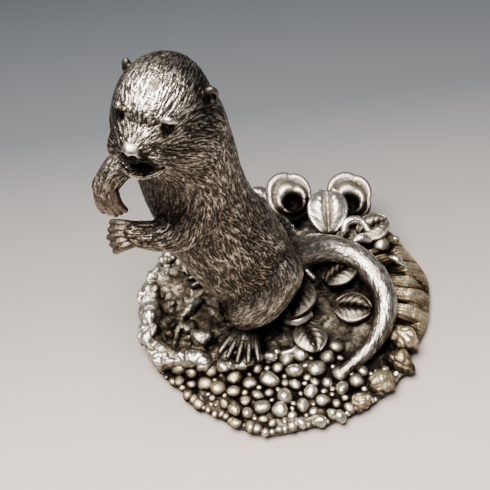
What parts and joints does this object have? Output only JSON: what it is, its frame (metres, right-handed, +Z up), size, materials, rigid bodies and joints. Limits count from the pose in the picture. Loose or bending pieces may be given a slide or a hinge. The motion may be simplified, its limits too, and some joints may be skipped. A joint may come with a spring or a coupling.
{
  "type": "otter figurine",
  "caption": "Cast metal figurine of an otter standing upright on a rock ledge, forepaws held out and tail curled round, on a round base of shingle, leaves and open blooms.",
  "frame": {"origin": "middle of the flat underside of the base", "axes": "+Z up; the side shown first faces -Y; the otter's chest faces -X and its tail lies on the +X side"},
  "size_m": [0.0575, 0.0545, 0.0675],
  "materials": {
    "antique_metal": "antiqued silver-coloured metal, nearly black in the hollows and worn bright on the high spots"
  },
  "bodies": {
    "root": {"otter_figurine": "antique_metal"}
  },
  "joints": []
}
